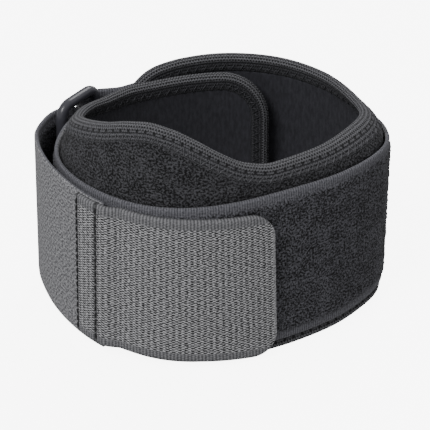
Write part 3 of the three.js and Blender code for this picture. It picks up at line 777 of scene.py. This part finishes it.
def strap_line(step=0.8):
    """Middle line of the strap, resampled evenly and smoothed: root fold, once round, through the
    ring and back. Returns its points, its place round the cuff and how far it is folded back."""
    outside = RING["bar_out"] + LOOP_RADIUS
    reach = 0.2 * LOOP_RADIUS / PERIMETER
    root = ROOT_FOLD / PERIMETER

    def stretch(start, end):
        return np.linspace(start, end, max(2, int(abs(end - start) * PERIMETER / 0.5)))

    a = stretch(1 + BACK_AT - root, 1 + BACK_AT - reach)
    root_out = SECOND_OUT + (outside - SECOND_OUT) * smoothstep(a - 1, BACK_AT - root * 0.6, BACK_AT)
    b = stretch(1 + BACK_AT - reach, FRONT_AT + reach)
    c = stretch(FRONT_AT + reach, STRAP_END)
    folded_out = SECOND_OUT + (outside + LOOP_SPREAD - SECOND_OUT) * table_value(FOLDED_GAP, c)
    loops = [bar_loop(RING["back"], 1, 0, False), bar_loop(RING["front"], -1, LOOP_SPREAD, True)]
    line = np.vstack([
        plan_point(a, root_out), loops[0], plan_point(b, np.full(len(b), RING["strap_out"])), loops[1],
        plan_point(c, folded_out)])
    around = np.concatenate([
        a, np.full(len(loops[0]), 1 + BACK_AT), b, np.full(len(loops[1]), FRONT_AT), c])
    folded = np.concatenate([np.zeros(len(line) - len(c)), np.ones(len(c))])
    lengths = np.concatenate([[0], np.cumsum(np.linalg.norm(np.diff(line, axis=0), axis=1))])
    even = np.linspace(0, lengths[-1], int(lengths[-1] / step))
    columns = [np.interp(even, lengths, value) for value in (*line.T, around, folded)]
    line = np.stack(columns[:2], -1)
    for _ in range(2):
        line[1:-1] = line[1:-1] * 0.5 + (line[:-2] + line[2:]) * 0.25
    return line, columns[2], columns[3], even


def ribbon_grid(line, around, height, offset):
    """Grid of points beside an upright ribbon's middle line, moved sideways by the offset and
    slanting with the wall. Sideways is to the right of the way the line runs."""
    run = np.gradient(line, axis=0)
    run /= np.linalg.norm(run, axis=1, keepdims=True)
    side = np.stack([run[:, 1], -run[:, 0]], -1)
    _, _, outward = plan_frame(around)
    flat = (line[:, None] + side[:, None] * offset[..., None]
            + outward[:, None] * slant_at(around[:, None], height)[..., None])
    return np.concatenate([flat, height[..., None]], -1)


def loop_strap():
    """The strap's two faces: loop pile, thinner at its smooth selvedges, and the plain back."""
    line, around, folded, along = strap_line()
    bottom, width = strap_edges(around)
    bottom = bottom - folded * fall_at(around)
    share = np.linspace(0, 1, 58)
    height = bottom[:, None] + width[:, None] * share
    v = np.broadcast_to(share * STRAP_WIDTH, height.shape)
    edge = np.minimum(v, STRAP_WIDTH - v)
    pile = STRAP_THICKNESS / 2 - PILE_HEIGHT * (1 - smoothstep(edge, SELVEDGE - 0.5, SELVEDGE + 0.5))
    rounded = EDGE_ROUND * (1 - smoothstep(edge, 0, 0.9))
    fuzz = random.normal(0, PILE_FUZZ, height.shape) * smoothstep(edge, SELVEDGE, SELVEDGE + 1)
    pile_face = ribbon_grid(line, around, height, -(pile - rounded + fuzz))
    back_face = ribbon_grid(line, around, height, STRAP_THICKNESS / 2 - rounded)
    uv = np.stack([np.broadcast_to(along[:, None], v.shape), v], -1)
    points, faces, corner_uv, side = sheet_solid(back_face, pile_face, uv)
    return add_piece("loop_strap_cloth", points, faces, corner_uv, [STRAP_PILE, PLAIN_BACK],
                     "loop_strap", (side == 0).astype(int))


def hook_tab():
    """The tab's wall, rounded at its free corners. Along each stitch row the thread draws it in by
    a depth times the bell curve of the distance from the row over the groove's width."""
    turn = np.linspace(0, math.pi / 2, 24)[:-1]
    corner = TAB_CORNER * (1 - np.cos(turn))
    plain = np.linspace(0, TAB_LENGTH - TAB_CORNER, 90)
    distance = np.concatenate([plain, (TAB_LENGTH - corner)[::-1]])
    line, around = tab_line(distance)
    cut = corner_cut(TAB_LENGTH - distance, TAB_CORNER)
    top = STRAP_LIFT + STRAP_WIDTH - fall_at(around)
    rows = 70
    share = np.linspace(0, 1, rows)
    height = (top - TAB_WIDTH + cut)[:, None] + (TAB_WIDTH - 2 * cut)[:, None] * share
    edge = np.minimum(np.minimum(share, 1 - share) * (TAB_WIDTH - 2 * cut)[:, None],
                      np.minimum(distance, TAB_LENGTH - distance)[:, None])
    half = TAB_THICKNESS / 2 - 0.4 * (1 - smoothstep(edge, 0, 0.8))
    along = np.interp(distance, TAB_PLACES, TAB_LENGTHS)
    groove_depth, groove_width = 0.3, 0.6
    for row in TAB_STITCH_ROWS:
        half = half - groove_depth * np.exp(-(((along - row) / groove_width) ** 2))[:, None]
    outer = ribbon_grid(line, around, height, half)
    inner = ribbon_grid(line, around, height, np.full(height.shape, -TAB_THICKNESS / 2))
    uv = np.stack([np.broadcast_to(along[:, None], height.shape), top[:, None] - height], -1)
    points, faces, corner_uv, _ = sheet_solid(outer, inner, uv)
    return add_piece("hook_tab_tape", points, faces, corner_uv, [HOOK_TAPE], "hook_tab")


def tab_stitches():
    """Two upright rows of lockstitch, each stitch a short bent thread that dips at both ends."""
    pitch, length = STITCH_PITCH, 2.15
    paths = []
    for row in TAB_STITCH_ROWS:
        line, around = tab_line(np.interp([row - 0.3, row + 0.3], TAB_LENGTHS, TAB_PLACES))
        top = STRAP_LIFT + STRAP_WIDTH - fall_at(around[0])
        run = line[1] - line[0]
        side = np.array([run[1], -run[0]]) / np.linalg.norm(run)
        start = top - TAB_WIDTH + 1.2 + pitch * np.arange(int((TAB_WIDTH - 2) / pitch))
        s = np.linspace(0, 1, 7)
        height = start[:, None] + length * s
        lift = TAB_THICKNESS / 2 - 0.35 + 0.3 * np.sin(math.pi * s)
        _, _, outward = plan_frame(around[:1])
        out = slant_at(around[0], height)
        flat = line.mean(0) + side * lift[None, :, None] + outward * out[..., None]
        paths.append(np.concatenate([flat, height[..., None]], -1))
    return thread_piece("tab_stitch_rows", np.vstack(paths), 0.26, THREAD)


def root_stitches():
    """Two upright rows that sew the strap's folded root down, made as the tab's rows are."""
    pitch, length = STITCH_PITCH, 2.0
    line, around, _, along = strap_line()
    paths = []
    for row in ROOT_STITCH_ROWS:
        k = np.searchsorted(along, row)
        bottom, width = strap_edges(around[k:k + 1])
        run = line[k + 1] - line[k - 1]
        side = np.array([run[1], -run[0]]) / np.linalg.norm(run)
        start = bottom + 1.5 + pitch * np.arange(int((width[0] - 3) / pitch))
        s = np.linspace(0, 1, 7)
        height = start[:, None] + length * s
        lift = STRAP_THICKNESS / 2 - 0.1 + 0.3 * np.sin(math.pi * s)
        flat = np.broadcast_to((line[k] + side * lift[:, None])[None], (*height.shape, 2))
        paths.append(np.concatenate([flat, height[..., None]], -1))
    return thread_piece("root_stitch_rows", np.vstack(paths), 0.24, THREAD)


def cover_stitch(name, side, yarn):
    """Zigzag of the cover stitch on one face of the binding: each thread runs between the fold's
    last rib and the binding's free edge, leaning one way and then the other."""
    pitch = 1.5
    count = int(OUTLINE_LENGTH / pitch) // 2 * 2
    place = np.arange(count + 1) / count * len(OUTLINE)
    near, far, clear, arch = 2.5, 5.0, 0.02, 0.1
    s = np.linspace(0, 1, 5)
    start, end = place[:-1, None], place[1:, None]
    index = (start + (end - start) * s) % len(OUTLINE)
    wrapped = np.vstack([OUTLINE, OUTLINE[:1]])
    wrapped_in = np.vstack([OUTLINE_IN, OUTLINE_IN[:1]])
    grid = np.arange(len(OUTLINE) + 1)
    line = np.stack([np.interp(index, grid, wrapped[:, k]) for k in (0, 1)], -1)
    inward = np.stack([np.interp(index, grid, wrapped_in[:, k]) for k in (0, 1)], -1)
    up = (np.arange(count) % 2 == 0)[:, None]
    inset = np.where(up, near + (far - near) * s, far - (far - near) * s)
    offset = side * (BINDING_THICKNESS / 2 + clear + arch * np.sin(math.pi * s))
    flat = line + inward * inset[..., None]
    paths = band_point(flat[..., 0], flat[..., 1], np.broadcast_to(offset, flat.shape[:-1]))
    return thread_piece(name, paths, 0.17, yarn)


def strap_ring():
    """Round bar swept round a rounded oblong that stands on its short side."""
    radius = RING_BAR / 2
    half_across = RING_PITCH / 2
    low = RING_FLOOR_GAP + radius
    high = low + SLOT_HEIGHT + RING_BAR
    corner_radius = RING_INNER_RADIUS + radius
    centers = [(half_across, low), (half_across, high), (-half_across, high), (-half_across, low)]
    middle = (low + high) / 2
    across, height, facing = [], [], []
    for k, (x, z) in enumerate(centers):
        angle = -math.pi / 2 + k * math.pi / 2 + np.linspace(0, math.pi / 2, 14)
        across.append(x - math.copysign(corner_radius, x) + corner_radius * np.cos(angle))
        height.append(z - math.copysign(corner_radius, z - middle) + corner_radius * np.sin(angle))
        facing.append(np.stack([np.cos(angle), np.sin(angle)], -1))
    across, height, facing = np.concatenate(across), np.concatenate(height), np.vstack(facing)
    turn = np.arange(24) / 24 * 2 * math.pi
    spread = radius * np.cos(turn)
    flat = (RING["middle"] + (across[:, None] + facing[:, :1] * spread)[..., None] * RING["forward"]
            + (radius * np.sin(turn))[None, :, None] * RING["outward"])
    tall = height[:, None] + facing[:, 1:] * spread
    grid = np.concatenate([flat, tall[..., None]], -1)
    quads, i, j = grid_quads(len(across), len(turn), True, True)
    corner_uv = np.stack([i, j], -1).reshape(-1, 2).astype(float)
    return add_piece("gloss_ring", grid.reshape(-1, 3), quads[:, ::-1], corner_uv, [GLOSS],
                     "strap_ring")


def stage():
    """White glowing floor, a soft key light from above left, a second one from behind on the
    right, an even white fill from all round, and the camera. The floor's glow reaches the camera
    and not the cloth."""
    bpy.ops.mesh.primitive_plane_add(size=6)
    floor = bpy.context.object
    floor.name = "floor"
    material, _, shader = new_material("white_sweep")
    shader.inputs["Base Color"].default_value = (0.95, 0.95, 0.95, 1)
    shader.inputs["Roughness"].default_value = 1
    shader.inputs["Emission Color"].default_value = (1, 1, 1, 1)
    shader.inputs["Emission Strength"].default_value = 7.0
    floor.data.materials.append(material)
    floor.visible_diffuse = False
    floor.visible_glossy = False
    world = bpy.data.worlds.new("studio")
    world.use_nodes = True
    world.node_tree.nodes["Background"].inputs["Color"].default_value = (1, 1, 1, 1)
    world.node_tree.nodes["Background"].inputs["Strength"].default_value = 0.5
    bpy.context.scene.world = world
    lights = [  # name, place in metres, power in watts, width in metres
        ("key", (-0.45, -0.55, 0.95), 9, 0.5),
        ("rim", (0.35, 0.75, 0.8), 5, 0.5),
    ]
    for name, place, power, size in lights:
        light = bpy.data.lights.new(name, "AREA")
        light.energy, light.size = power, size
        lamp = bpy.data.objects.new(name, light)
        lamp.location = place
        toward = -np.array(place) + [0, 0, 0.03]
        flat = math.hypot(toward[0], toward[1])
        lamp.rotation_euler = (math.atan2(flat, -toward[2]), 0, math.atan2(-toward[0], toward[1]))
        bpy.context.scene.collection.objects.link(lamp)
    camera = bpy.data.cameras.new("camera")
    camera.lens, camera.sensor_width, camera.clip_end = CAMERA_LENS, CAMERA_SENSOR, 10
    view = bpy.data.objects.new("camera", camera)
    view.location = [v * METRE for v in CAMERA_PLACE]
    view.rotation_euler = (math.radians(90 - CAMERA_PITCH), 0, 0)
    bpy.context.scene.collection.objects.link(view)
    bpy.context.scene.camera = view


stage()
band = neoprene_band()
binding = edge_binding()
outside = cover_stitch("cover_stitch_outside", 1, GREY_STITCH)
inside = cover_stitch("cover_stitch_inside", -1, SHADED_STITCH)
strap = loop_strap()
root = root_stitches()
tab = hook_tab()
stitches = tab_stitches()
strap_ring()

strap_length = strap_line()[3][-1]
